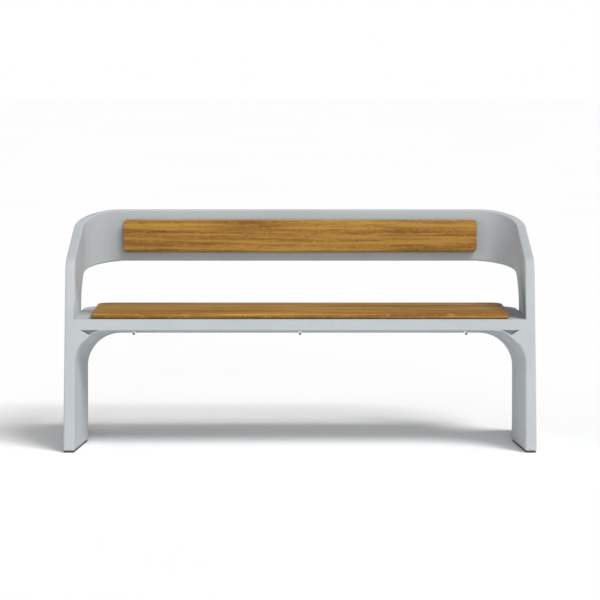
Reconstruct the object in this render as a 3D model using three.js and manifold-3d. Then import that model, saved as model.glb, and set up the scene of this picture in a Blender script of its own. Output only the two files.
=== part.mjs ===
// Street bench: one cast concrete shell that wraps from the legs through the arms into the back,
// with a wooden seat panel and a wooden back panel bolted on, each on thin spacers.
// Millimetres, +Z up. X runs along the length, Y from the front to the back.
import * as THREE from "three";
import { mergeVertices } from "three/addons/utils/BufferGeometryUtils.js";
import Module from "manifold-3d";

const wasm = await Module();
wasm.setup();

// ---------- driving dimensions ----------

// Whole bench
const LENGTH = 1600; // over the feet
const SIDE_DRAFT = 4; // each side leans in by this much from the foot to the seat
const SEAT_DEPTH = 487; // foot front to the rear edge of the cast seat
const SEAT_HEIGHT = 447; // top of the cast seat
const FRONT_LEAN = 57; // how far the front edge runs back between the foot and the seat

// Portal: legs and cast seat
const LEG_WALL = 38; // thickness of a leg at its front edge
const SLAB_WALL = 35.5; // thickness of the seat at its front lip
const LEG_CROWN = 27; // extra thickness of a leg at the middle of its depth
const SLAB_CROWN = 34.5; // extra thickness of the seat at the middle of its depth
const ARCH_RADIUS = 115; // between a leg and the underside of the seat
const ARCH_STEPS = 14;
const SLAB_CORNER = 80; // plan radius of the seat's rear corners
const CORNER_STEPS = 10;
const NICHE_INSET = 20; // shallow niche under each end of the lip, in from the arm's inner face
const NICHE_RIM = 4; // left standing between it and the arch
const NICHE_TIP = 55; // degrees round the arch to its lowest point
const NICHE_DEPTH = 20;

// Ribbon: arms and back band
const RIBBON_WALL = 33;
const RIBBON_BEND = 130; // outer plan radius where an arm turns into the back
const BEND_STEPS = 14;
const BAND_REAR = 585; // foot front to the rear face of the back band
const BACK_RISE = 336; // top of the cast seat to the top of the back band
const BAND_HEIGHT = 182;
const POST_DEPTH = 281; // depth of an arm's upright where it leaves the seat
const RIBBON_ROOT = 12; // how deep the ribbon is cast into the seat
const SHOULDER_RISE = 194; // arm's front corner over the seat
const SHOULDER_RUN = 49; // arm's front corner behind the lip
const SHOULDER_EASE = 44; // length of that corner's rounding along each edge
const ARM_DROP = 61; // top of the back band down to the arm's top where the bend begins to rise
const BEND_LEAD = 35; // the rise begins this far before the bend and settles this far after it
const BEND_EASE = 115; // how softly the top edge levels out after the bend
const WINDOW_CHEEK = 84; // straight stretch of the window's edge over the seat
const WINDOW_SLOPE = 22; // fall of the window's edge as it leaves the back band
const WINDOW_EASE = 255; // length over which it falls
const EDGE_STEPS = 12;

// Wooden panels
const SEAT_PANEL_LENGTH = 1416;
const SEAT_PANEL_DEPTH = 354;
const SEAT_PANEL_THICK = 17.5;
const SEAT_PANEL_INSET = 11; // lip front to the panel's front edge
const SEAT_PANEL_CORNER = 40; // rear corners
const SEAT_PANEL_FRONT_CORNER = 9;
const BACK_PANEL_LENGTH = 1256;
const BACK_PANEL_HEIGHT = 114;
const BACK_PANEL_THICK = 19;
const BACK_PANEL_CORNER = 15;
const PANEL_STEPS = 6;

// Fixings, M8
const THREAD = 8;
const SEAT_PANEL_GAP = 1.5; // height of a spacer with its clearances, and the gap under the panel
const BACK_PANEL_GAP = 3; // the same behind the back panel
const CLEARANCE = 0.3; // between two pieces that touch
const HOLE_CLEARANCE = 1; // round a thread that passes through the shell
const SPACER_RIM = 8; // each rim is a piece's width outside the thread
const INSERT_RIM = 2;
const INSERT_LENGTH = 11;
const WASHER_RIM = 4.5;
const WASHER_THICK = 1.6;
const NUT_RIM = 2.5;
const NUT_HEIGHT = 6.5;
const THREAD_END = 7; // a stud stands out of its nut by this much
const HEAD_RIM = 3;
const HEAD_HEIGHT = 4.4;
const HEX_KEY = 5;
const HEX_KEY_DEPTH = 2.6;
const SPOT_FACE_RIM = 2.5; // flat seat in the shell, wider than its washer
const SPOT_FACE_SKIN = 1.2; // least depth of that flat
const SEAT_FIXING_SPACING = 567;
const SEAT_FIXING_EDGE = 62; // from the panel's front or rear edge
const BACK_FIXING_SPACING = 480;
const ROUND_STEPS = 18;
const OVERLAP = 1; // how far a cutter starts outside the face that it cuts

// Foot pads
const PAD_THICK = 6;
const PAD_INSET = 3; // in from the edges of the foot

// ---------- derived places ----------

const FOOT_HALF = LENGTH / 2;
const ARM_HALF = FOOT_HALF - SIDE_DRAFT;
const FOOT_BASE = PAD_THICK + CLEARANCE;
const FRONT_SLOPE = FRONT_LEAN / (SEAT_HEIGHT - FOOT_BASE);
const LIP_BASE = SEAT_HEIGHT - SLAB_WALL;
const BACK_HEIGHT = SEAT_HEIGHT + BACK_RISE;
const ARM_INNER = ARM_HALF - RIBBON_WALL;
const POST_REAR = FRONT_LEAN + POST_DEPTH;
const BEND_START = BAND_REAR - RIBBON_BEND;
const BEND_END = BEND_START + (RIBBON_BEND * Math.PI) / 2;
const RIBBON_HALF = BEND_END + ARM_HALF - RIBBON_BEND;
const BAND_FRONT = BAND_REAR - RIBBON_WALL;
const BAND_BASE = BACK_HEIGHT - BAND_HEIGHT;
const SEAT_PANEL_BASE = SEAT_HEIGHT + SEAT_PANEL_GAP;
const SEAT_PANEL_FRONT = FRONT_LEAN + SEAT_PANEL_INSET;
const BACK_PANEL_BASE = (BACK_HEIGHT + BAND_BASE - BACK_PANEL_HEIGHT) / 2;
const BACK_PANEL_MIDDLE = BACK_PANEL_BASE + BACK_PANEL_HEIGHT / 2;
const BACK_PANEL_REAR = BAND_FRONT - BACK_PANEL_GAP;
const THREAD_RADIUS = THREAD / 2;
const BORE_RADIUS = THREAD_RADIUS + CLEARANCE;
const HOLE_RADIUS = THREAD_RADIUS + HOLE_CLEARANCE;
const SPACER_RADIUS = THREAD_RADIUS + SPACER_RIM;
const INSERT_RADIUS = THREAD_RADIUS + INSERT_RIM;
const WASHER_RADIUS = THREAD_RADIUS + WASHER_RIM;
const SPOT_FACE_RADIUS = WASHER_RADIUS + SPOT_FACE_RIM;
const NUT_HALF_FLATS = THREAD_RADIUS + NUT_RIM;
const HEAD_RADIUS = THREAD_RADIUS + HEAD_RIM;
const HEX_CORNER = 2 / Math.sqrt(3); // a hexagon's corner radius over its half width across flats
const SPARE = 200; // cutters run this far past the faces that they cut

// Where the front edge of the shell lies at a height.
const frontAt = (z) => (z - FOOT_BASE) * FRONT_SLOPE;

// ---------- materials ----------

const paint = (name, color, roughness, metalness) =>
  new THREE.MeshStandardMaterial({ name, color, roughness, metalness });
const concrete = paint("concrete", 0xbcc2c5, 0.75, 0);
const teak = paint("teak", 0x9f743b, 0.55, 0);
const steel = paint("steel", 0xa8aaad, 0.3, 1);
const brass = paint("brass", 0xb8964f, 0.35, 1);
const nylon = paint("nylon", 0x2a2b2d, 0.6, 0);
const rubber = paint("rubber", 0x3a3c3d, 0.9, 0);

// ---------- solids ----------

const at = (x, y) => new THREE.Vector2(x, y);

// A closed triangle mesh as a solid that can be joined and cut.
function manifold(positions, faces) {
  const mesh = { numProp: 3, vertProperties: positions, triVerts: new Uint32Array(faces) };
  return new wasm.Manifold(new wasm.Mesh(mesh));
}

// A closed three.js geometry as such a solid.
function solid(geometry) {
  const bare = geometry.clone();
  bare.deleteAttribute("normal");
  bare.deleteAttribute("uv");
  const merged = mergeVertices(bare, 1e-4);
  return manifold(merged.attributes.position.array, merged.index.array);
}

// The geometry of a solid.
function geometryOf(body) {
  const mesh = body.getMesh();
  const geometry = new THREE.BufferGeometry();
  geometry.setAttribute("position", new THREE.BufferAttribute(mesh.vertProperties, 3));
  geometry.setIndex(new THREE.BufferAttribute(mesh.triVerts, 1));
  const flat = geometry.toNonIndexed();
  flat.computeVertexNormals();
  return flat;
}

// A solid through rings of points. Every ring has as many points as flat, the outline in a
// plane that the two end caps are triangulated from.
function loft(rings, flat) {
  const count = flat.length;
  const faces = [];
  for (let start = 0; start < (rings.length - 1) * count; start += count) {
    for (let i = 0; i < count; i++) {
      const a = start + i;
      const b = start + ((i + 1) % count);
      faces.push(a, b, b + count, a, b + count, a + count);
    }
  }
  const last = (rings.length - 1) * count;
  for (const [a, b, c] of THREE.ShapeUtils.triangulateShape(flat, [])) {
    faces.push(a, c, b, last + a, last + b, last + c);
  }
  const positions = rings.flat().flatMap((p) => [p.x, p.y, p.z]);
  return manifold(new Float32Array(positions), faces);
}

// A round bar or a prism with flats, from the origin along +Z.
function bar(radius, length, steps = ROUND_STEPS) {
  const geometry = new THREE.CylinderGeometry(radius, radius, length, steps);
  geometry.rotateX(Math.PI / 2);
  return geometry.translate(0, 0, length / 2);
}

// A round ring from the origin along +Z.
function ring(outer, bore, height) {
  const corners = [[bore, 0], [outer, 0], [outer, height], [bore, height], [bore, 0]];
  const profile = corners.map(([x, y]) => new THREE.Vector2(x, y));
  return new THREE.LatheGeometry(profile, ROUND_STEPS).rotateX(Math.PI / 2);
}

// An outline extruded along +Z from the origin.
function slab(shape, depth, curveSegments) {
  return new THREE.ExtrudeGeometry(shape, { depth, bevelEnabled: false, curveSegments });
}

// A rectangle centred on X, from y = 0 up, with one radius on its low and one on its high corners.
function panelShape(width, height, lowRadius, highRadius) {
  const half = width / 2;
  const shape = new THREE.Shape();
  shape.moveTo(-half + lowRadius, 0);
  shape.absarc(half - lowRadius, lowRadius, lowRadius, -Math.PI / 2, 0);
  shape.absarc(half - highRadius, height - highRadius, highRadius, 0, Math.PI / 2);
  shape.absarc(highRadius - half, height - highRadius, highRadius, Math.PI / 2, Math.PI);
  shape.absarc(lowRadius - half, lowRadius, lowRadius, Math.PI, Math.PI * 1.5);
  return shape;
}

// ---------- portal: the two legs and the cast seat ----------

// Points of an arch, from one angle to another, both ends included.
function archPoints(x, z, from, to) {
  const step = (to - from) / ARCH_STEPS;
  const angles = Array.from({ length: ARCH_STEPS + 1 }, (_, i) => from + step * i);
  return angles.map((a) => at(x + ARCH_RADIUS * Math.cos(a), z + ARCH_RADIUS * Math.sin(a)));
}

// Front outline of the portal. crown is 0 at its front and rear and 1 at the middle of its depth.
function portalOutline(crown) {
  const foot = FOOT_HALF - LEG_WALL - LEG_CROWN * crown;
  const x = foot - ARCH_RADIUS;
  const z = LIP_BASE - SLAB_CROWN * crown - ARCH_RADIUS;
  return [
    at(foot, FOOT_BASE),
    at(FOOT_HALF, FOOT_BASE),
    at(ARM_HALF, SEAT_HEIGHT),
    at(-ARM_HALF, SEAT_HEIGHT),
    at(-FOOT_HALF, FOOT_BASE),
    at(-foot, FOOT_BASE),
    ...archPoints(-x, z, Math.PI, Math.PI / 2),
    ...archPoints(x, z, Math.PI / 2, 0),
  ];
}

// The portal runs through its rear, middle and front outlines; the front one leans back.
function portal() {
  const stations = [[1, 0], [0.5, 1], [0, 0]];
  const rings = stations.map(([along, crown]) =>
    portalOutline(crown).map((p) => {
      const front = frontAt(p.y);
      return new THREE.Vector3(p.x, front + (SEAT_DEPTH - front) * along, p.y);
    }),
  );
  return loft(rings, portalOutline(0));
}

// A box between two corners.
function block(low, high) {
  const size = high.map((value, i) => value - low[i]);
  const middle = high.map((value, i) => (value + low[i]) / 2);
  return solid(new THREE.BoxGeometry(...size).translate(...middle));
}

// What is cast away behind the arms, so that the seat's sides run on from the arms' inner faces
// to its round rear corners.
function seatRearWaste() {
  const plan = panelShape(2 * ARM_INNER, SEAT_DEPTH + SPARE, 1, SLAB_CORNER);
  const seat = solid(slab(plan, SEAT_HEIGHT + SPARE, CORNER_STEPS)).translate([0, -SPARE, 0]);
  const low = [-LENGTH, POST_REAR, soffitAt(POST_REAR)];
  return block(low, [LENGTH, SEAT_DEPTH + SPARE, SEAT_HEIGHT + SPARE]).subtract(seat);
}

// What is cast away behind a leg and its arch, whose rear edge leans from the foot to the arm's
// rear edge. Over it the seat's underside runs straight on. side is 1 or -1.
function legRearWaste(side) {
  const knee = at(POST_REAR, soffitAt(POST_REAR));
  const edge = at(SEAT_DEPTH, LIP_BASE);
  const heel = at(SEAT_DEPTH, FOOT_BASE);
  const past = (from, to) => to.clone().add(to.clone().sub(from).setLength(SPARE));
  const above = past(knee, edge);
  const outline = new THREE.Shape([knee, past(knee, heel), at(above.x, -SPARE), above]);
  const inner = FOOT_HALF - LEG_WALL - LEG_CROWN - ARCH_RADIUS;
  const cutter = slab(outline, FOOT_HALF + SPARE - inner, 1).rotateZ(Math.PI / 2).rotateY(Math.PI / 2);
  return solid(cutter.translate(side > 0 ? inner : -FOOT_HALF - SPARE, 0, 0));
}

// Shallow niche between one end of the lip and the arch, whose curve it follows at the width of
// the rim. side is 1 or -1.
function niche(side) {
  const radius = ARCH_RADIUS + NICHE_RIM;
  const low = THREE.MathUtils.degToRad(NICHE_TIP);
  const high = Math.asin(ARCH_RADIUS / radius);
  const centre = at(FOOT_HALF - LEG_WALL - ARCH_RADIUS, LIP_BASE - ARCH_RADIUS);
  const tip = at(radius, 0).rotateAround(at(0, 0), low).add(centre);
  const outline = new THREE.Shape();
  outline.moveTo(ARM_INNER - NICHE_INSET, LIP_BASE);
  outline.lineTo(tip.x, tip.y);
  outline.absarc(centre.x, centre.y, radius, low, high);
  const reach = SPARE + frontAt(LIP_BASE) + NICHE_DEPTH;
  const cutter = slab(outline, reach, PANEL_STEPS).rotateX(Math.PI / 2);
  const right = solid(cutter.translate(0, frontAt(LIP_BASE) + NICHE_DEPTH, 0));
  return side > 0 ? right : right.mirror([1, 0, 0]);
}

// Height of the seat's underside at a depth.
function soffitAt(depth) {
  const ridge = (frontAt(LIP_BASE - SLAB_CROWN) + SEAT_DEPTH) / 2;
  const front = frontAt(LIP_BASE);
  const share = depth < ridge ? (depth - front) / (ridge - front)
    : (SEAT_DEPTH - depth) / (SEAT_DEPTH - ridge);
  return LIP_BASE - SLAB_CROWN * share;
}

// ---------- ribbon: uprights, arms and back band ----------

// The edges are drawn flat: x is the length along the ribbon's outer face from the front, y the
// height. The middle of the back is at x = RIBBON_HALF.
function topEdge() {
  const root = SEAT_HEIGHT - RIBBON_ROOT / 2;
  const lip = at(FRONT_LEAN, SEAT_HEIGHT);
  const corner = at(FRONT_LEAN + SHOULDER_RUN, SEAT_HEIGHT + SHOULDER_RISE);
  const armEnd = at(BEND_START - BEND_LEAD, BACK_HEIGHT - ARM_DROP);
  const settled = at(BEND_END + BEND_LEAD, BACK_HEIGHT);
  const below = corner.clone().sub(lip).setLength(SHOULDER_EASE);
  const along = armEnd.clone().sub(corner).setLength(SHOULDER_EASE);
  const easeIn = corner.clone().sub(below);
  const easeOut = corner.clone().add(along);
  const lead = armEnd.clone().add(along.clone().setLength(2 * BEND_LEAD));
  const edge = new THREE.CurvePath();
  edge.add(new THREE.LineCurve(at(frontAt(root), root), lip));
  edge.add(new THREE.LineCurve(lip, easeIn));
  edge.add(new THREE.QuadraticBezierCurve(easeIn, corner, easeOut));
  edge.add(new THREE.LineCurve(easeOut, armEnd));
  edge.add(new THREE.CubicBezierCurve(
    armEnd,
    lead,
    at(settled.x - BEND_EASE, BACK_HEIGHT),
    settled,
  ));
  edge.add(new THREE.LineCurve(settled, at(RIBBON_HALF, BACK_HEIGHT)));
  return edge.getPoints(EDGE_STEPS);
}

function windowEdge() {
  const root = SEAT_HEIGHT - RIBBON_ROOT;
  const settled = at(BEND_END + BEND_LEAD, BAND_BASE);
  const edge = new THREE.CurvePath();
  edge.add(new THREE.LineCurve(at(frontAt(root), root), at(POST_REAR, root)));
  edge.add(new THREE.CubicBezierCurve(
    at(POST_REAR, root),
    at(POST_REAR, SEAT_HEIGHT + WINDOW_CHEEK),
    at(settled.x - WINDOW_EASE, BAND_BASE - WINDOW_SLOPE),
    settled,
  ));
  edge.add(new THREE.LineCurve(settled, at(RIBBON_HALF, BAND_BASE)));
  return edge.getPoints(EDGE_STEPS);
}

// Height of an edge at a length along the ribbon.
function heightAt(edge, length) {
  const next = Math.max(1, edge.findIndex((p) => p.x >= length));
  const [a, b] = [edge[next - 1], edge[next]];
  return THREE.MathUtils.mapLinear(length, a.x, b.x, a.y, b.y);
}

// Where a point of the flat drawing lies, at a depth under the ribbon's outer face.
function wrap(length, depth, height) {
  const turn = THREE.MathUtils.clamp((length - BEND_START) / RIBBON_BEND, 0, Math.PI / 2);
  const radius = RIBBON_BEND - depth;
  const x = ARM_HALF - RIBBON_BEND + radius * Math.cos(turn) - Math.max(0, length - BEND_END);
  const y = BEND_START + radius * Math.sin(turn) + Math.min(0, length - BEND_START);
  return new THREE.Vector3(x, y, height);
}

// Lengths along the ribbon where it gets a section.
function ribbonStations(top, bottom) {
  const step = (BEND_END - BEND_START) / BEND_STEPS;
  const bend = Array.from({ length: BEND_STEPS + 1 }, (_, i) => BEND_START + step * i);
  const all = [...top, ...bottom].map((p) => p.x).concat(bend);
  const start = top[0].x;
  const sorted = all.filter((x) => x >= start && x < RIBBON_HALF).sort((a, b) => a - b);
  return sorted.filter((x, i) => i === 0 || x - sorted[i - 1] > CLEARANCE);
}

// One piece from the right upright, round the back, to the left upright.
function ribbon() {
  const top = topEdge();
  const bottom = windowEdge();
  const section = (length) => {
    const low = heightAt(bottom, length);
    const high = heightAt(top, length);
    return [
      wrap(length, 0, low),
      wrap(length, RIBBON_WALL, low),
      wrap(length, RIBBON_WALL, high),
      wrap(length, 0, high),
    ];
  };
  const right = ribbonStations(top, bottom).map(section);
  const mirror = (points) => points.map((p) => new THREE.Vector3(-p.x, p.y, p.z));
  const left = right.map(mirror).reverse();
  const flat = [at(0, 0), at(1, 0), at(1, 1), at(0, 1)];
  return loft([...right, ...left], flat);
}

// ---------- shell ----------

const across = [-1, 0, 1];
const SEAT_ROWS = [
  SEAT_PANEL_FRONT + SEAT_FIXING_EDGE,
  SEAT_PANEL_FRONT + SEAT_PANEL_DEPTH - SEAT_FIXING_EDGE,
];

// Height of the flat that a washer bears on, round a hole at a depth.
function spotFaceAt(depth) {
  const edges = [depth - SPOT_FACE_RADIUS, depth + SPOT_FACE_RADIUS];
  return Math.max(...edges.map(soffitAt)) + SPOT_FACE_SKIN;
}

// Clearance hole with a flat seat for the washer, under the seat.
function seatHole(x, depth) {
  const flat = spotFaceAt(depth);
  const hole = solid(bar(HOLE_RADIUS, SPARE)).translate([x, depth, flat - OVERLAP]);
  const spot = solid(bar(SPOT_FACE_RADIUS, SPARE)).translate([x, depth, flat - SPARE]);
  return hole.add(spot);
}

// Clearance hole through the back band.
function backHole(x) {
  const hole = solid(bar(HOLE_RADIUS, SPARE).rotateX(-Math.PI / 2));
  return hole.translate([x, BAND_REAR - SPARE / 2, BACK_PANEL_MIDDLE]);
}

function shell() {
  let body = portal().subtract(seatRearWaste());
  for (const side of [-1, 1]) body = body.subtract(legRearWaste(side));
  body = body.add(ribbon());
  for (const side of [-1, 1]) body = body.subtract(niche(side));
  for (const column of across) {
    for (const depth of SEAT_ROWS) {
      body = body.subtract(seatHole(column * SEAT_FIXING_SPACING, depth));
    }
    body = body.subtract(backHole(column * BACK_FIXING_SPACING));
  }
  return geometryOf(body);
}

// ---------- wooden panels ----------

// Blind hole for a threaded insert, along +Z from the origin.
function insertHole() {
  const depth = INSERT_LENGTH + 2 * CLEARANCE;
  return solid(bar(INSERT_RADIUS + CLEARANCE, depth + OVERLAP)).translate([0, 0, -OVERLAP]);
}

function seatPanel() {
  const corners = [SEAT_PANEL_FRONT_CORNER, SEAT_PANEL_CORNER];
  const plan = panelShape(SEAT_PANEL_LENGTH, SEAT_PANEL_DEPTH, ...corners);
  let body = solid(slab(plan, SEAT_PANEL_THICK, PANEL_STEPS));
  body = body.translate([0, SEAT_PANEL_FRONT, SEAT_PANEL_BASE]);
  for (const column of across) {
    for (const depth of SEAT_ROWS) {
      const place = [column * SEAT_FIXING_SPACING, depth, SEAT_PANEL_BASE];
      body = body.subtract(insertHole().translate(place));
    }
  }
  return geometryOf(body);
}

function backPanel() {
  const corners = [BACK_PANEL_CORNER, BACK_PANEL_CORNER];
  const face = panelShape(BACK_PANEL_LENGTH, BACK_PANEL_HEIGHT, ...corners);
  const upright = slab(face, BACK_PANEL_THICK, PANEL_STEPS).rotateX(Math.PI / 2);
  let body = solid(upright).translate([0, BACK_PANEL_REAR, BACK_PANEL_BASE]);
  const hole = insertHole().rotate([90, 0, 0]);
  for (const column of across) {
    const place = [column * BACK_FIXING_SPACING, BACK_PANEL_REAR, BACK_PANEL_MIDDLE];
    body = body.subtract(hole.translate(place));
  }
  return geometryOf(body);
}

// ---------- fixings, each drawn with its head end at the origin and pointing along +Z ----------

// Half a ball, squashed to a height, with its pole at the origin and its flat side at that height.
function dome(radius, height) {
  const ball = new THREE.SphereGeometry(radius, ROUND_STEPS, ROUND_STEPS / 2).rotateX(Math.PI / 2);
  return solid(ball.scale(1, 1, height / radius).translate(0, 0, height));
}

function hexNut() {
  const hex = solid(bar(NUT_HALF_FLATS * HEX_CORNER, NUT_HEIGHT, 6));
  return geometryOf(hex.subtract(solid(bar(BORE_RADIUS, SPARE)).translate([0, 0, -OVERLAP])));
}

// Button-head bolt with a hexagon socket. length is measured under the head.
function buttonBolt(length) {
  const head = dome(HEAD_RADIUS, HEAD_HEIGHT).intersect(solid(bar(2 * HEAD_RADIUS, HEAD_HEIGHT)));
  const thread = solid(bar(THREAD_RADIUS, length + OVERLAP)).translate([0, 0, HEAD_HEIGHT - OVERLAP]);
  const key = solid(bar((HEX_KEY / 2) * HEX_CORNER, HEX_KEY_DEPTH + OVERLAP, 6));
  return geometryOf(head.add(thread).subtract(key.translate([0, 0, -OVERLAP])));
}

const stud = (length) => bar(THREAD_RADIUS, length);
const washer = () => ring(WASHER_RADIUS, BORE_RADIUS, WASHER_THICK);
const spacer = (gap) => ring(SPACER_RADIUS, BORE_RADIUS, gap - 2 * CLEARANCE);
const insert = () => ring(INSERT_RADIUS, BORE_RADIUS, INSERT_LENGTH);

// ---------- foot pads ----------

// Plan of one pad: the foot's own outline, brought in all round.
function footPad() {
  const outer = FOOT_HALF - PAD_INSET;
  const inner = FOOT_HALF - LEG_WALL + PAD_INSET;
  const rear = SEAT_DEPTH - PAD_INSET;
  const plan = new THREE.Shape([
    at(inner, PAD_INSET),
    at(outer, PAD_INSET),
    at(outer, rear),
    at(inner, rear),
    at(inner - LEG_CROWN, SEAT_DEPTH / 2),
  ]);
  return slab(plan, PAD_THICK, 1);
}

// ---------- assembly ----------

// The origin is on the floor, under the middle of the overall length and depth.
const WASHER_REAR = BAND_REAR + CLEARANCE + WASHER_THICK;
const HEAD_REAR = WASHER_REAR + CLEARANCE + HEAD_HEIGHT;
const bench = new THREE.Group();
bench.position.y = -HEAD_REAR / 2;

function place(name, geometry, material, x = 0, y = 0, z = 0) {
  const mesh = new THREE.Mesh(geometry, material.clone());
  mesh.name = name;
  mesh.position.set(x, y, z);
  bench.add(mesh);
  return mesh;
}

place("shell", shell(), concrete);
place("seat_panel", seatPanel(), teak);
place("back_panel", backPanel(), teak);

place("right_foot_pad", footPad(), rubber);
place("left_foot_pad", footPad().rotateY(Math.PI).translate(0, 0, PAD_THICK), rubber);

const columnName = { "-1": "left", 0: "middle", 1: "right" };
const insertTop = SEAT_PANEL_BASE + CLEARANCE + INSERT_LENGTH;

for (const column of across) {
  const x = column * SEAT_FIXING_SPACING;
  for (const [row, depth] of Object.entries({ front: SEAT_ROWS[0], rear: SEAT_ROWS[1] })) {
    const label = `seat_${row}_${columnName[column]}`;
    const washerBase = spotFaceAt(depth) - CLEARANCE - WASHER_THICK;
    const nutBase = washerBase - CLEARANCE - NUT_HEIGHT;
    const studBase = nutBase - THREAD_END;
    place(`${label}_insert`, insert(), brass, x, depth, SEAT_PANEL_BASE + CLEARANCE);
    place(`${label}_spacer`, spacer(SEAT_PANEL_GAP), nylon, x, depth, SEAT_HEIGHT + CLEARANCE);
    place(`${label}_washer`, washer(), steel, x, depth, washerBase);
    place(`${label}_nut`, hexNut(), steel, x, depth, nutBase);
    place(`${label}_stud`, stud(insertTop - studBase), steel, x, depth, studBase);
  }
}

// The back's fixings lie along Y: their +Z points forwards, into the panel.
const forwards = new THREE.Group();
forwards.rotation.x = Math.PI / 2;
bench.add(forwards);

for (const column of across) {
  const x = column * BACK_FIXING_SPACING;
  const label = `back_${columnName[column]}`;
  const lay = (name, geometry, material, y) => {
    const mesh = place(`${label}_${name}`, geometry, material, x, BACK_PANEL_MIDDLE, -y);
    forwards.add(mesh);
  };
  const insertFront = BACK_PANEL_REAR - CLEARANCE - INSERT_LENGTH;
  lay("insert", insert(), brass, BACK_PANEL_REAR - CLEARANCE);
  lay("spacer", spacer(BACK_PANEL_GAP), nylon, BAND_FRONT - CLEARANCE);
  lay("washer", washer(), steel, WASHER_REAR);
  lay("bolt", buttonBolt(HEAD_REAR - HEAD_HEIGHT - insertFront), steel, HEAD_REAR);
}

export default bench;
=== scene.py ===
"""Street bench: the looks of a cast concrete shell with two bolted wooden panels."""
import math

import bmesh
import bpy
from mathutils import Matrix, Vector
from mathutils.geometry import intersect_point_line


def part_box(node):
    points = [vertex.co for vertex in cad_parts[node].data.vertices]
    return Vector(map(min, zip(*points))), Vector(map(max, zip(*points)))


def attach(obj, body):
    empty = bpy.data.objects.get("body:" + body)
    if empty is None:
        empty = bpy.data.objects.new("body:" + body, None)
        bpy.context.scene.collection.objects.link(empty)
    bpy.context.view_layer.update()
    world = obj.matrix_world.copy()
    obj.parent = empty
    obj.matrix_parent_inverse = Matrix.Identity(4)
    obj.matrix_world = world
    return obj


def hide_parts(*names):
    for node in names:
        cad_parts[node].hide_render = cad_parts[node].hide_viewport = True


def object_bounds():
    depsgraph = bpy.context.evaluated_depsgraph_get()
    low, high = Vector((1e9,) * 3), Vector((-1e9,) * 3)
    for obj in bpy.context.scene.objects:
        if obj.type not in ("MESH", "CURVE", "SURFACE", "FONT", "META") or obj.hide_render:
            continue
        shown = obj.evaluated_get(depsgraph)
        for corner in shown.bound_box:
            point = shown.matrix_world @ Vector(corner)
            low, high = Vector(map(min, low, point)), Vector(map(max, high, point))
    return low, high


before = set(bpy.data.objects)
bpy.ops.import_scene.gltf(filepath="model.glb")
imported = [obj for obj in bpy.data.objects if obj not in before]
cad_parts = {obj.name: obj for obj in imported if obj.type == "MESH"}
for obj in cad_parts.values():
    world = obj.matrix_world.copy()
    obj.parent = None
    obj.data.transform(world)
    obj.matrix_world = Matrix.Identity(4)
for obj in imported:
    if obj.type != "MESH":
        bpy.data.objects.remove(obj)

CAD_BOX = [list(corner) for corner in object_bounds()]
BODY = "root"
MM = 0.001
X, Y, Z = range(3)

# ---------- sizes of this file's own details ----------

WELD_REACH = 0.02 * MM  # corners nearer than this are one
FLAT_TURN = math.radians(1.2)  # faces that turn by less than this are one flat
CREASE = 40  # degrees: an edge that turns by more than this is sharp
NUT_CREASE = 30
THREAD_CREASE = 50

SHELL_ARRIS = 6 * MM
SHELL_ARRIS_STEPS = 4
SHELL_SHARP = math.radians(30)  # an edge that turns by more than this gets an arris
NICHE_ZONE = 80 * MM  # the niches lie this near the front, under the seat
NICHE_REACH = 32 * MM  # and their edges this near their inward corners, which are left crisp
BOARD_ARRIS = 4 * MM
SEAT_UNDER_ARRIS = 4.5 * MM
BACK_UNDER_ARRIS = 5 * MM
SEAT_FRONT_CORNER = 9 * MM
SEAT_REAR_CORNER = 40 * MM
BACK_CORNER = 15 * MM
CORNER_STEPS = 8
UNDER_STEPS = 3
FACE_STEPS = 5
ROUND = 48  # steps round a small turned piece
CLEARANCE = 0.3 * MM
HOLE_RIM = 1 * MM  # a hole in the shell is wider than its thread by this much all round
SPOT_RIM = 2.5 * MM  # and its spot face wider than the washer
HOLE_REACH = 100 * MM  # how far a hole's cutter runs
THREAD_PITCH = 1.25 * MM
THREAD_DEPTH = 0.55 * MM
THREAD_SHOWN = 12 * MM
THREAD_STEPS = 6  # rings to one turn of the thread
TIP = 1 * MM  # chamfer at the end of a stud or bolt
SMALL_ARRIS = 0.4 * MM
PAD_ARRIS = 1.5 * MM
PAD_ARRIS_STEPS = 3
WASHER_BAND = 4.2 * MM  # from a washer's bore to its edge
NUT_WALL = 2.2 * MM  # from a nut's bore to its flats
NUT_CHAMFER = 0.9 * MM
NUT_SINK = 0.5 * MM
CHAMFER_STEPS = 4
HEAD_RIM = 3 * MM  # a bolt's head is wider than its shank by this much all round
HEAD_HIGH = 4.4 * MM
DOME_SHARE = 0.9  # of the head's height
DOME_START = 28  # degrees from its axis, where the socket's mouth ends
DOME_STEPS = 8
SOCKET_ACROSS = 5 * MM
SOCKET_DEEP = 2.6 * MM
SOCKET_POINT = 0.4 * MM  # how far its floor is drilled on
SOCKET_POINT_ACROSS = 3 * MM
SOCKET_EASE = 0.2 * MM  # how deep its mouth is eased
SOCKET_MOUTH = 0.5 * MM  # and how much wider the mouth is
ACROSS = ("left", "middle", "right")
SEAT_FIXINGS = [f"seat_{row}_{place}" for row in ("front", "rear") for place in ACROSS]
BACK_FIXINGS = [f"back_{place}" for place in ACROSS]

FLOOR_SIZE = 40
FLOOR_GRID = 8
CAMERA_DISTANCE = 8.7  # in front of the bench
CAMERA_HEIGHT = 1.448
CAMERA_PITCH = 6.092  # degrees down
CAMERA_SEES = 200
LENS = 156.4  # millimetres, like the sensor
SENSOR = 36
SKY_LIGHT = 0.3
# name, degrees to the right of the front, degrees up, spread and strength
SUNS = (
    ("key", 46, 54, 26, 2.65),
    ("front", 6, 16, 30, 0.65),
    ("left_fill", -66, 7, 50, 1.15),
    ("right_fill", 66, 7, 50, 0.4),
)


# ---------- finishes ----------

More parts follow.
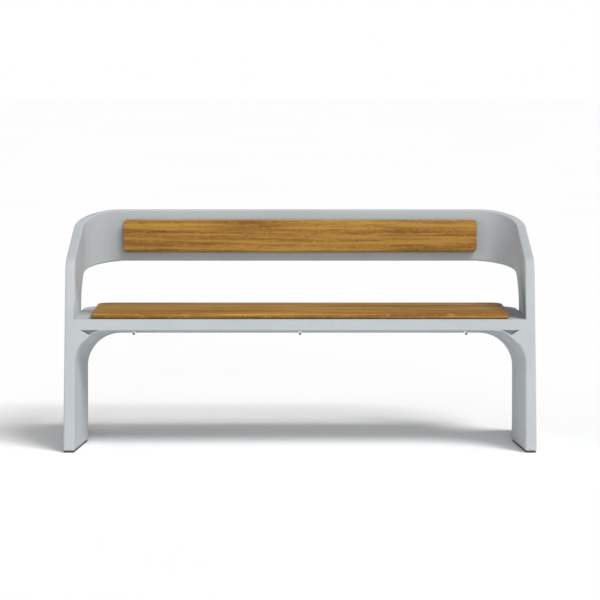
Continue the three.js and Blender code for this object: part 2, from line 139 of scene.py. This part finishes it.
class Wire:
    """A socket in a finish's tree, used as a number in a Python expression."""

    def __init__(self, finish, socket):
        self.finish, self.socket = finish, socket

    def maths(self, operation, first, second):
        return self.finish.node("ShaderNodeMath", {"operation": operation}, {0: first, 1: second})

    def __add__(self, other):
        return self.maths("ADD", self, other)

    def __sub__(self, other):
        return self.maths("SUBTRACT", self, other)

    def __rsub__(self, other):
        return self.maths("SUBTRACT", other, self)

    def __mul__(self, other):
        return self.maths("MULTIPLY", self, other)

    def above(self, level):
        return self.maths("GREATER_THAN", self, level)

    __radd__ = __add__
    __rmul__ = __mul__


class Finish:
    """One material: a Principled surface and the nodes that vary it."""

    def __init__(self, name, **uniform):
        self.material = bpy.data.materials.new(name)
        self.material.use_nodes = True
        self.nodes = self.material.node_tree.nodes
        self.links = self.material.node_tree.links
        self.surface = self.nodes["Principled BSDF"]
        for socket, value in uniform.items():
            self.surface.inputs[socket.replace("_", " ")].default_value = value
        self.place = self.node("ShaderNodeTexCoord", {}, {}, "Object")

    def node(self, kind, settings, inputs, output=0):
        """Any node: its settings first, then the values or wires of its sockets."""
        made = self.nodes.new(kind)
        for key, value in settings.items():
            if key == "stops":
                self.set_stops(made.color_ramp, value)
            else:
                setattr(made, key, value)
        for key, value in inputs.items():
            self.feed(made.inputs[key], value)
        return Wire(self, made.outputs[output])

    def feed(self, socket, value):
        if isinstance(value, Wire):
            self.links.new(value.socket, socket)
        else:
            socket.default_value = value

    @staticmethod
    def set_stops(ramp, stops):
        while len(ramp.elements) < len(stops):
            ramp.elements.new(0.5)
        for element, (position, colour) in zip(ramp.elements, stops):
            element.position = position
            element.color = (*colour, 1)

    def place_maths(self, operation, first, second):
        return self.node("ShaderNodeVectorMath", {"operation": operation}, {0: first, 1: second})

    def noise(self, place, scale, detail, roughness=0.5, distortion=0.0):
        sockets = {"Vector": place, "Scale": scale, "Detail": detail, "Roughness": roughness,
                   "Distortion": distortion}
        return self.node("ShaderNodeTexNoise", {}, sockets)

    def spread(self, value, low, high, to_low=0.0, to_high=1.0):
        """Takes low..high to to_low..to_high, and holds the ends."""
        sockets = {"Value": value, 1: low, 2: high, 3: to_low, 4: to_high}
        return self.node("ShaderNodeMapRange", {"clamp": True}, sockets)

    def ramp(self, value, stops):
        return self.node("ShaderNodeValToRGB", {"stops": stops}, {"Fac": value})

    def mix(self, share, first, second):
        """Two colours mixed. A colour is a wire or three numbers."""
        colours = [c if isinstance(c, Wire) else (*c, 1) for c in (first, second)]
        sockets = {0: share, 6: colours[0], 7: colours[1]}
        return self.node("ShaderNodeMix", {"data_type": "RGBA"}, sockets, 2)

    def bump(self, height, distance, strength):
        sockets = {"Height": height, "Distance": distance, "Strength": strength}
        return self.node("ShaderNodeBump", {}, sockets)

    def wear(self, **varying):
        """Feeds what varies over the surface, and gives the finished material."""
        for socket, value in varying.items():
            self.feed(self.surface.inputs[socket.replace("_", " ")], value)
        return self.material


def cast_concrete():
    """Fair-faced concrete: faint clouds, fine sand speckle, a few pinholes."""
    f = Finish("cast_concrete", IOR=1.45, Specular_IOR_Level=0.3)
    clouds = f.noise(f.place, 2.2, 4, 0.55, 0.4)
    mottle = f.noise(f.place, 17, 5, 0.6)
    sand = f.noise(f.place, 620, 2, 0.5)
    grit = f.noise(f.place, 240, 3, 0.6)
    body = f.mix(f.spread(clouds, 0.35, 0.65), (0.385, 0.412, 0.427), (0.425, 0.447, 0.460))
    body = f.mix(f.spread(mottle, 0.3, 0.7) * 0.45, body, (0.370, 0.397, 0.417))
    body = f.mix(f.spread(sand, 0.52, 0.7) * 0.35, body, (0.29, 0.31, 0.322))
    body = f.mix(f.spread(grit, 0.55, 0.75) * 0.25, body, (0.54, 0.555, 0.565))
    cells = f.node("ShaderNodeTexVoronoi", {}, {"Vector": f.place, "Scale": 46, "Randomness": 1.0})
    chosen = f.noise(f.place, 9, 2).above(0.56)
    holes = (1 - f.spread(cells, 0.035, 0.075)) * chosen
    body = f.mix(holes * 0.6, body, (0.20, 0.215, 0.225))
    height = sand * 0.25 + grit * 0.35 + mottle * 0.6 - holes * 1.4
    rough = f.spread(mottle, 0.3, 0.7, 0.62, 0.76) + sand * 0.06
    return f.wear(Base_Color=body, Roughness=rough, Normal=f.bump(height, 0.35 * MM, 0.6))


def oiled_teak(seed, name):
    """Oiled hardwood, grain along X: bands, dark streaks, fine lines, pale fibres and flecks, pores."""
    f = Finish(name, IOR=1.46, Specular_IOR_Level=0.16, Coat_Roughness=0.35)
    shifted = f.place_maths("ADD", f.place, (seed, seed, seed))

    def grain(along, across, *settings):
        """Noise with so many waves to a metre along the board and across it."""
        return f.noise(f.place_maths("MULTIPLY", shifted, (along, across, across)), 1.0, *settings)

    sway = grain(1.2, 7, 2, 0.5)
    bands = grain(1.6, 48, 5, 0.62, 0.25)
    lines = grain(4, 300, 4, 0.65, 0.3)
    fibres = grain(22, 900, 2, 0.6)
    flecks = grain(50, 240, 2, 0.6)
    pores = grain(48, 620, 1, 0.5)
    streaks = grain(2.2, 95, 3, 0.55, 0.4)
    tone = f.ramp(f.spread(bands + (sway - 0.5) * 0.5, 0.34, 0.66), [
        (0.0, (0.150, 0.058, 0.010)),
        (0.3, (0.218, 0.094, 0.016)),
        (0.42, (0.262, 0.122, 0.022)),
        (0.56, (0.300, 0.148, 0.028)),
        (0.64, (0.370, 0.198, 0.038)),
        (1.0, (0.415, 0.226, 0.045)),
    ])
    tone = f.mix(f.spread(streaks, 0.56, 0.64) * 0.7, tone, (0.135, 0.050, 0.009))
    tone = f.mix(f.spread(lines, 0.5, 0.64) * 0.6, tone, (0.165, 0.066, 0.012))
    tone = f.mix(f.spread(fibres, 0.45, 0.62) * 0.3, tone, (0.46, 0.262, 0.055))
    tone = f.mix(f.spread(flecks, 0.58, 0.64) * 0.5, tone, (0.46, 0.255, 0.052))
    dashes = f.spread(pores, 0.67, 0.71)
    tone = f.mix(dashes * 0.65, tone, (0.060, 0.024, 0.007))
    height = bands * 0.5 + lines * 0.5 + fibres * 0.35 - dashes * 0.6
    rough = f.spread(lines, 0.3, 0.7, 0.48, 0.62) + dashes * 0.12
    return f.wear(Base_Color=tone, Roughness=rough, Coat_Weight=f.spread(bands, 0.3, 0.7, 0.01, 0.05),
                  Normal=f.bump(height, 0.3 * MM, 0.5))


def stainless():
    f = Finish("stainless", Metallic=1.0)
    smear = f.noise(f.place, 180, 4, 0.6)
    scratch = f.noise(f.place_maths("MULTIPLY", f.place, (1, 1, 14)), 900, 2, 0.5)
    tone = f.mix(f.spread(smear, 0.35, 0.65), (0.52, 0.53, 0.54), (0.70, 0.71, 0.72))
    rough = f.spread(smear, 0.3, 0.7, 0.2, 0.36) + scratch * 0.06
    return f.wear(Base_Color=tone, Roughness=rough, Normal=f.bump(scratch, 0.02 * MM, 0.4))


def painted_shade_steel():
    """The thread of a stud: dark brown-grey steel, which is painted shade for the stud's end in the shadow
    under the seat, its tone varied at random.
    """
    f = Finish("painted_shade_steel", Metallic=0.85)
    blotch = f.noise(f.place, 260, 4, 0.6)
    # painted shade: this dark brown-grey tone stands for the shadow on the stud's end; the blotches only
    # vary it at random
    tone = f.mix(f.spread(blotch, 0.35, 0.65), (0.10, 0.085, 0.07), (0.2, 0.18, 0.16))
    return f.wear(Base_Color=tone, Roughness=f.spread(blotch, 0.3, 0.7, 0.4, 0.6))


def turned_brass():
    f = Finish("turned_brass", Metallic=1.0)
    tarnish = f.noise(f.place, 220, 4, 0.6)
    tone = f.mix(f.spread(tarnish, 0.35, 0.65), (0.44, 0.30, 0.11), (0.62, 0.46, 0.19))
    return f.wear(Base_Color=tone, Roughness=f.spread(tarnish, 0.3, 0.7, 0.28, 0.48))


def moulded(name, dark, light, roughness, grain):
    """Nylon or rubber: a dark moulding with a fine texture and a little dust."""
    f = Finish(name)
    dust = f.noise(f.place, 70, 4, 0.6)
    texture = f.noise(f.place, grain, 2, 0.5)
    tone = f.mix(f.spread(dust, 0.4, 0.7), dark, light)
    rough = f.spread(dust, 0.3, 0.7, roughness - 0.08, roughness + 0.08)
    return f.wear(Base_Color=tone, Roughness=rough, Normal=f.bump(texture, 0.08 * MM, 0.5))


def studio_floor():
    f = Finish("studio_floor")
    wash = f.noise(f.place, 0.6, 2)
    tone = f.mix(wash, (0.91, 0.91, 0.91), (0.93, 0.93, 0.93))
    return f.wear(Base_Color=tone, Roughness=f.spread(wash, 0, 1, 0.8, 0.9))


CONCRETE = cast_concrete()
TEAK_SEAT = oiled_teak(3.1, "oiled_teak_seat")
TEAK_BACK = oiled_teak(11.7, "oiled_teak_back")
STAINLESS = stainless()
# steel for the studs, darkened with painted shade
PAINTED_SHADE_STEEL = painted_shade_steel()
BRASS = turned_brass()
NYLON = moulded("moulded_nylon", (0.018, 0.018, 0.020), (0.030, 0.030, 0.032), 0.5, 900)
RUBBER = moulded("pad_rubber", (0.028, 0.029, 0.030), (0.055, 0.056, 0.057), 0.8, 500)


# ---------- making pieces ----------

def piece(name, mesh, finish, slot, *nodes):
    """Shows a mesh as a piece that stands for CAD nodes."""
    made = bpy.data.objects.new(name, mesh)
    bpy.context.collection.objects.link(made)
    made.data.materials.clear()
    made.data.materials.append(finish)
    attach(made, BODY)
    if nodes:
        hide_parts(*nodes)
    return made


def mesh_from(form, name, crease=None):
    """A mesh from a bmesh form, its faces outward and smooth up to a crease."""
    bmesh.ops.recalc_face_normals(form, faces=form.faces)
    mesh = bpy.data.meshes.new(name)
    form.to_mesh(mesh)
    form.free()
    mesh.shade_smooth()
    if crease:
        mesh.set_sharp_from_angle(angle=math.radians(crease))
    return mesh


def finished_mesh(source, name, *modifiers):
    """The mesh that a list of (kind, settings) modifiers makes of a mesh."""
    carrier = bpy.data.objects.new(name, source)
    bpy.context.collection.objects.link(carrier)
    for kind, settings in modifiers:
        modifier = carrier.modifiers.new(kind, kind)
        for key, value in settings.items():
            setattr(modifier, key, value)
    bpy.context.view_layer.update()
    evaluated = carrier.evaluated_get(bpy.context.evaluated_depsgraph_get())
    mesh = bpy.data.meshes.new_from_object(evaluated)
    mesh.name = name
    bpy.data.objects.remove(carrier)
    return mesh


def skin(form, rings, closed=False):
    """Faces between rings of vertices. The ends get caps, or closed joins the last to the first."""
    made = [[form.verts.new(point) for point in ring] for ring in rings]
    pairs = list(zip(made, made[1:]))
    if closed:
        pairs.append((made[-1], made[0]))
    for low, high in pairs:
        for i in range(len(low)):
            j = (i + 1) % len(low)
            form.faces.new((low[i], low[j], high[j], high[i]))
    if not closed:
        form.faces.new(reversed(made[0]))
        form.faces.new(made[-1])


def moved(form, place, turn=0.0):
    """Turns a form about X, then takes it to its place."""
    form.transform(Matrix.Translation(place) @ Matrix.Rotation(math.radians(turn), 4, "X"))
    return form


def weld(form):
    bmesh.ops.remove_doubles(form, verts=form.verts, dist=WELD_REACH)


def join_flats(form):
    """Makes one face of each flat's triangles."""
    bmesh.ops.dissolve_limit(form, angle_limit=FLAT_TURN, verts=form.verts, edges=form.edges)


def circle(radius, height):
    angles = [math.tau * i / ROUND for i in range(ROUND)]
    return [(radius * math.cos(a), radius * math.sin(a), height) for a in angles]


def hexagon(across, height, limit=math.inf):
    """A hexagon by its width across flats, its corners cut back to a limiting radius."""
    points = []
    for i in range(ROUND):
        angle = math.tau * i / ROUND
        off_flat = (angle + math.pi / 6) % (math.pi / 3) - math.pi / 6
        radius = min(across / 2 / math.cos(off_flat), limit)
        points.append((radius * math.cos(angle), radius * math.sin(angle), height))
    return points


def rounded_ring(outer, bore, low, high, arris):
    """Rings of a washer whose four edges are eased."""
    corners = [
        (bore, low, 1, 1), (outer, low, -1, 1), (outer, high, -1, -1), (bore, high, 1, -1),
    ]
    starts = (180, 270, 0, 90)
    rings = []
    for (radius, height, inward, upward), start in zip(corners, starts):
        for turn in (0, 45, 90):
            angle = math.radians(start + turn)
            centre = radius + inward * arris, height + upward * arris
            rings.append(circle(centre[0] + arris * math.cos(angle), centre[1] + arris * math.sin(angle)))
    return rings


def centre_of(node):
    low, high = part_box(node)
    return (low + high) / 2


def length_of(node, axis):
    low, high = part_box(node)
    return high[axis] - low[axis]


# ---------- shell ----------

def fixing_axes():
    """Each fixing's middle, its direction and the reach of its hole in the shell."""
    upright = [(centre_of(f"{label}_washer"), Vector((0, 0, 1))) for label in SEAT_FIXINGS]
    level = [(centre_of(f"{label}_washer"), Vector((0, 1, 0))) for label in BACK_FIXINGS]
    reach = length_of(f"{SEAT_FIXINGS[0]}_washer", Y) / 2 + SPOT_RIM + CLEARANCE
    return [(middle, direction, reach) for middle, direction in upright + level]


def fill_holes(form):
    """Takes the fixings' holes out of a form, so that its flats are whole."""
    round_holes = set()
    for middle, direction, reach in fixing_axes():
        for corner in form.verts:
            offset = corner.co - middle
            if (offset - offset.project(direction)).length < reach:
                round_holes.add(corner)
    waste = [face for face in form.faces if all(corner in round_holes for corner in face.verts)]
    bmesh.ops.delete(form, geom=waste, context="FACES")
    rims = [edge for edge in form.edges if edge.is_boundary]
    bmesh.ops.holes_fill(form, edges=rims, sides=0)


def distance_from(point, edge):
    start, end = (corner.co for corner in edge.verts)
    _, share = intersect_point_line(point, start, end)
    return (point - start.lerp(end, min(max(share, 0), 1))).length


def weigh_arrises(form):
    """Marks the outward edges that are worn round. The inward ones stay crisp."""
    weights = form.edges.layers.float.new("bevel_weight_edge")
    sharp = [edge for edge in form.edges if edge.is_manifold and edge.calc_face_angle() > SHELL_SHARP]
    inward = [edge for edge in sharp if not edge.is_convex]
    seat_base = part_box("seat_panel")[0].z - NICHE_REACH
    for edge in sharp:
        if edge.is_convex:
            middle = (edge.verts[0].co + edge.verts[1].co) / 2
            under_lip = middle.z < seat_base and middle.y < CAD_BOX[0][1] + NICHE_ZONE
            crowded = min(distance_from(middle, other) for other in inward) < NICHE_REACH
            edge[weights] = 0 if under_lip and crowded else 1


def hole_cutter():
    """Round holes with spot faces for the seat's fixings, and plain holes for the back's."""
    form = bmesh.new()
    for label in SEAT_FIXINGS:
        middle = centre_of(f"{label}_washer")
        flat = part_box(f"{label}_washer")[1].z + CLEARANCE
        hole = length_of(f"{label}_stud", Y) / 2 + HOLE_RIM
        spot = length_of(f"{label}_washer", Y) / 2 + SPOT_RIM
        levels = ((spot, flat - HOLE_REACH), (spot, flat), (hole, flat), (hole, flat + HOLE_REACH))
        skin(form, [[(x + middle.x, y + middle.y, z) for x, y, z in circle(radius, level)]
                    for radius, level in levels])
    for label in BACK_FIXINGS:
        middle = centre_of(f"{label}_bolt")
        hole = length_of(f"{label}_washer", Z) / 2 - SPOT_RIM
        skin(form, [[(x + middle.x, level, y + middle.z) for x, y, _ in circle(hole, 0)]
                    for level in (middle.y - HOLE_REACH, middle.y + HOLE_REACH)])
    cutter = bpy.data.objects.new("hole_cutter", mesh_from(form, "hole_cutter"))
    bpy.context.collection.objects.link(cutter)
    return cutter


def shell_mesh():
    """The cast shell with soft arrises, from the CAD shell's own surface."""
    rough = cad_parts["shell"].data.copy()
    form = bmesh.new()
    form.from_mesh(rough)
    weld(form)
    fill_holes(form)
    join_flats(form)
    weigh_arrises(form)
    form.to_mesh(rough)
    form.free()
    rough.shade_smooth()
    cutter = hole_cutter()
    mesh = finished_mesh(
        rough, "cast_shell",
        ("BEVEL", {"width": SHELL_ARRIS, "segments": SHELL_ARRIS_STEPS, "limit_method": "WEIGHT",
                   "use_clamp_overlap": False, "loop_slide": False, "miter_outer": "MITER_ARC"}),
        ("BOOLEAN", {"operation": "DIFFERENCE", "solver": "EXACT", "object": cutter}),
        ("WEIGHTED_NORMAL", {"keep_sharp": True, "weight": 80}),
    )
    bpy.data.objects.remove(cutter)
    return mesh


# ---------- boards ----------

def quarter_turn(steps):
    return [math.radians(90 * i / steps) for i in range(steps + 1)]


def board_outline(width, height, low_corner, high_corner, inset):
    """A rectangle centred on x, from y = 0 up, with round corners, drawn in by an inset."""
    half = width / 2 - inset
    corners = (
        (half, inset, low_corner, -90),
        (half, height - inset, high_corner, 0),
        (-half, height - inset, high_corner, 90),
        (-half, inset, low_corner, 180),
    )
    points = []
    for x, y, corner, start in corners:
        radius = corner - inset
        cx = x - math.copysign(radius, x)
        cy = y + radius if y < height / 2 else y - radius
        for turn in quarter_turn(CORNER_STEPS):
            angle = math.radians(start) + turn
            points.append((cx + radius * math.cos(angle), cy + radius * math.sin(angle)))
    return points


def board_form(width, height, thick, low_corner, high_corner, under):
    """A board with round arrises, those underneath by a size of their own."""
    form = bmesh.new()
    levels = []
    for turn in quarter_turn(UNDER_STEPS):
        levels.append((under * (1 - math.sin(turn)), under * (1 - math.cos(turn))))
    for turn in quarter_turn(FACE_STEPS):
        levels.append((BOARD_ARRIS * (1 - math.cos(turn)), thick - BOARD_ARRIS * (1 - math.sin(turn))))
    rings = [[(x, y, z) for x, y in board_outline(width, height, low_corner, high_corner, inset)]
             for inset, z in levels]
    skin(form, rings)
    return form


def seat_board():
    low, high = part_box("seat_panel")
    size = high - low
    form = board_form(size.x, size.y, size.z, SEAT_FRONT_CORNER, SEAT_REAR_CORNER, SEAT_UNDER_ARRIS)
    form = moved(form, ((low.x + high.x) / 2, low.y, low.z))
    return mesh_from(form, "seat_board", CREASE)


def back_board():
    low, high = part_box("back_panel")
    size = high - low
    form = board_form(size.x, size.z, size.y, BACK_CORNER, BACK_CORNER, BACK_UNDER_ARRIS)
    form = moved(form, ((low.x + high.x) / 2, high.y, low.z), 90)
    return mesh_from(form, "back_board", CREASE)


# ---------- fixings and pads ----------

def washer_form(node, axis):
    """A flat washer on +Z, its middle at the origin. The axis is the one that the node's faces."""
    flat = Y if axis == Z else Z
    outer, thick = length_of(node, flat) / 2, length_of(node, axis)
    bore = outer - WASHER_BAND
    form = bmesh.new()
    skin(form, rounded_ring(outer, bore, -thick / 2, thick / 2, SMALL_ARRIS), closed=True)
    return form


def nut_form(node):
    """A hexagon nut, both ends chamfered and its bore countersunk, middle at the origin."""
    across, high = length_of(node, X), length_of(node, Z)
    bore = across / 2 - NUT_WALL
    form = bmesh.new()
    rings = []
    for i in range(CHAMFER_STEPS + 1):
        rise = NUT_CHAMFER * i / CHAMFER_STEPS
        rings.append(hexagon(across, rise - high / 2, across / 2 + rise * math.sqrt(3)))
    rings += [[(x, y, -z) for x, y, z in ring] for ring in reversed(rings)]
    rings += [circle(bore + NUT_SINK, high / 2), circle(bore, high / 2 - NUT_SINK)]
    rings += [circle(bore, NUT_SINK - high / 2), circle(bore + NUT_SINK, -high / 2)]
    skin(form, rings, closed=True)
    return form


def stud_form(node):
    """A stud from its lower end at the origin, threaded as far as it shows."""
    radius, length = length_of(node, Y) / 2, length_of(node, Z)
    form = bmesh.new()
    rings = [circle(radius - TIP, 0)]
    count = int(THREAD_SHOWN / THREAD_PITCH) * THREAD_STEPS
    for i in range(count):
        height = TIP + THREAD_SHOWN * i / count
        ring = []
        for j in range(ROUND):
            turn = (i / THREAD_STEPS - j / ROUND) % 1
            groove = THREAD_DEPTH * abs(2 * turn - 1)
            angle = math.tau * j / ROUND
            reach = radius - groove
            ring.append((reach * math.cos(angle), reach * math.sin(angle), height))
        rings.append(ring)
    rings += [circle(radius - THREAD_DEPTH, height) for height in (TIP + THREAD_SHOWN, length)]
    skin(form, rings)
    return form


def bolt_form(node):
    """A button-head bolt along +Z, the top of its head at the origin."""
    radius, length = length_of(node, Z) / 2, length_of(node, Y)
    shank = radius - HEAD_RIM
    form = bmesh.new()
    rings = [hexagon(SOCKET_POINT_ACROSS, SOCKET_DEEP + SOCKET_POINT), hexagon(SOCKET_ACROSS, SOCKET_DEEP)]
    rings += [hexagon(SOCKET_ACROSS, SOCKET_EASE), hexagon(SOCKET_ACROSS + SOCKET_MOUTH, 0)]
    for i in range(DOME_STEPS + 1):
        turn = math.radians(DOME_START + (90 - DOME_START) * i / DOME_STEPS)
        rings.append(circle(radius * math.sin(turn), HEAD_HIGH * (1 - math.cos(turn)) * DOME_SHARE))
    rings += [circle(radius, HEAD_HIGH - SMALL_ARRIS), circle(radius - SMALL_ARRIS, HEAD_HIGH)]
    rings += [circle(shank, HEAD_HIGH), circle(shank, length - TIP), circle(shank - TIP, length)]
    skin(form, rings)
    return form


def make_fixings():
    for label in SEAT_FIXINGS:
        washer, nut, stud = (f"{label}_{part}" for part in ("washer", "nut", "stud"))
        form = moved(washer_form(washer, Z), centre_of(washer))
        piece(f"{washer}_turned", mesh_from(form, washer, CREASE), STAINLESS, "steel", washer)
        form = moved(nut_form(nut), centre_of(nut))
        piece(f"{nut}_chamfered", mesh_from(form, nut, NUT_CREASE), STAINLESS, "steel", nut)
        low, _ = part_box(stud)
        middle = centre_of(stud)
        form = moved(stud_form(stud), (middle.x, middle.y, low.z))
        piece(f"{stud}_threaded", mesh_from(form, stud, THREAD_CREASE), PAINTED_SHADE_STEEL, "steel", stud)
    for label in BACK_FIXINGS:
        washer, bolt = f"{label}_washer", f"{label}_bolt"
        form = moved(washer_form(washer, Y), centre_of(washer), 90)
        piece(f"{washer}_turned", mesh_from(form, washer, CREASE), STAINLESS, "steel", washer)
        _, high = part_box(bolt)
        middle = centre_of(bolt)
        form = moved(bolt_form(bolt), (middle.x, high.y, middle.z), 90)
        piece(f"{bolt}_button", mesh_from(form, bolt, CREASE), STAINLESS, "steel", bolt)


def make_pads():
    for side in ("left", "right"):
        node = f"{side}_foot_pad"
        form = bmesh.new()
        form.from_mesh(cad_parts[node].data)
        weld(form)
        join_flats(form)
        bare = mesh_from(form, node)
        mesh = finished_mesh(bare, node, ("BEVEL", {"width": PAD_ARRIS, "segments": PAD_ARRIS_STEPS}))
        piece(f"{node}_moulded", mesh, RUBBER, "rubber", node)


make_fixings()
make_pads()
piece("concrete_shell", shell_mesh(), CONCRETE, "concrete", "shell")
piece("wooden_seat", seat_board(), TEAK_SEAT, "teak", "seat_panel")
piece("wooden_back", back_board(), TEAK_BACK, "teak", "back_panel")


# ---------- carried-over nodes ----------

CARRIED = {"insert": BRASS, "spacer": NYLON}
for name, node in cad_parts.items():
    finish = CARRIED.get(name.rsplit("_", 1)[-1])
    if finish:
        node.data.materials.clear()
        node.data.materials.append(finish)


# ---------- studio ----------

def lay_floor():
    """A pale floor that runs on out of sight."""
    form = bmesh.new()
    bmesh.ops.create_grid(form, x_segments=FLOOR_GRID, y_segments=FLOOR_GRID, size=FLOOR_SIZE)
    floor_mesh = mesh_from(form, "floor")
    floor = bpy.data.objects.new("floor", floor_mesh)
    bpy.context.collection.objects.link(floor)
    floor.data.materials.append(studio_floor())


def sun(name, from_front, height, spread, strength):
    """Soft parallel light: degrees round from the front to the right, and up from the floor."""
    light = bpy.data.lights.new(name, "SUN")
    light.angle = math.radians(spread)
    light.energy = strength
    held = bpy.data.objects.new(name, light)
    bpy.context.collection.objects.link(held)
    held.rotation_euler = (math.radians(90 - height), 0, math.radians(from_front))


def camera():
    data = bpy.data.cameras.new("camera")
    data.lens = LENS
    data.sensor_width = SENSOR
    data.clip_end = CAMERA_SEES
    held = bpy.data.objects.new("camera", data)
    bpy.context.collection.objects.link(held)
    front = CAD_BOX[0][1]
    held.location = (0, front - CAMERA_DISTANCE, CAMERA_HEIGHT)
    held.rotation_euler = (math.radians(90 - CAMERA_PITCH), 0, 0)
    bpy.context.scene.camera = held


def sky():
    """Even white light from all round, and a white backdrop for the camera."""
    world = bpy.data.worlds.new("studio_white")
    world.use_nodes = True
    nodes, links = world.node_tree.nodes, world.node_tree.links
    background = nodes["Background"]
    background.inputs["Color"].default_value = (1, 1, 1, 1)
    path = nodes.new("ShaderNodeLightPath")
    level = nodes.new("ShaderNodeMapRange")
    level.inputs["To Min"].default_value = SKY_LIGHT
    level.inputs["To Max"].default_value = 1.0
    links.new(path.outputs["Is Camera Ray"], level.inputs["Value"])
    links.new(level.outputs["Result"], background.inputs["Strength"])
    bpy.context.scene.world = world


lay_floor()
sky()
for light in SUNS:
    sun(*light)
camera()
bpy.context.scene.view_settings.view_transform = "Standard"
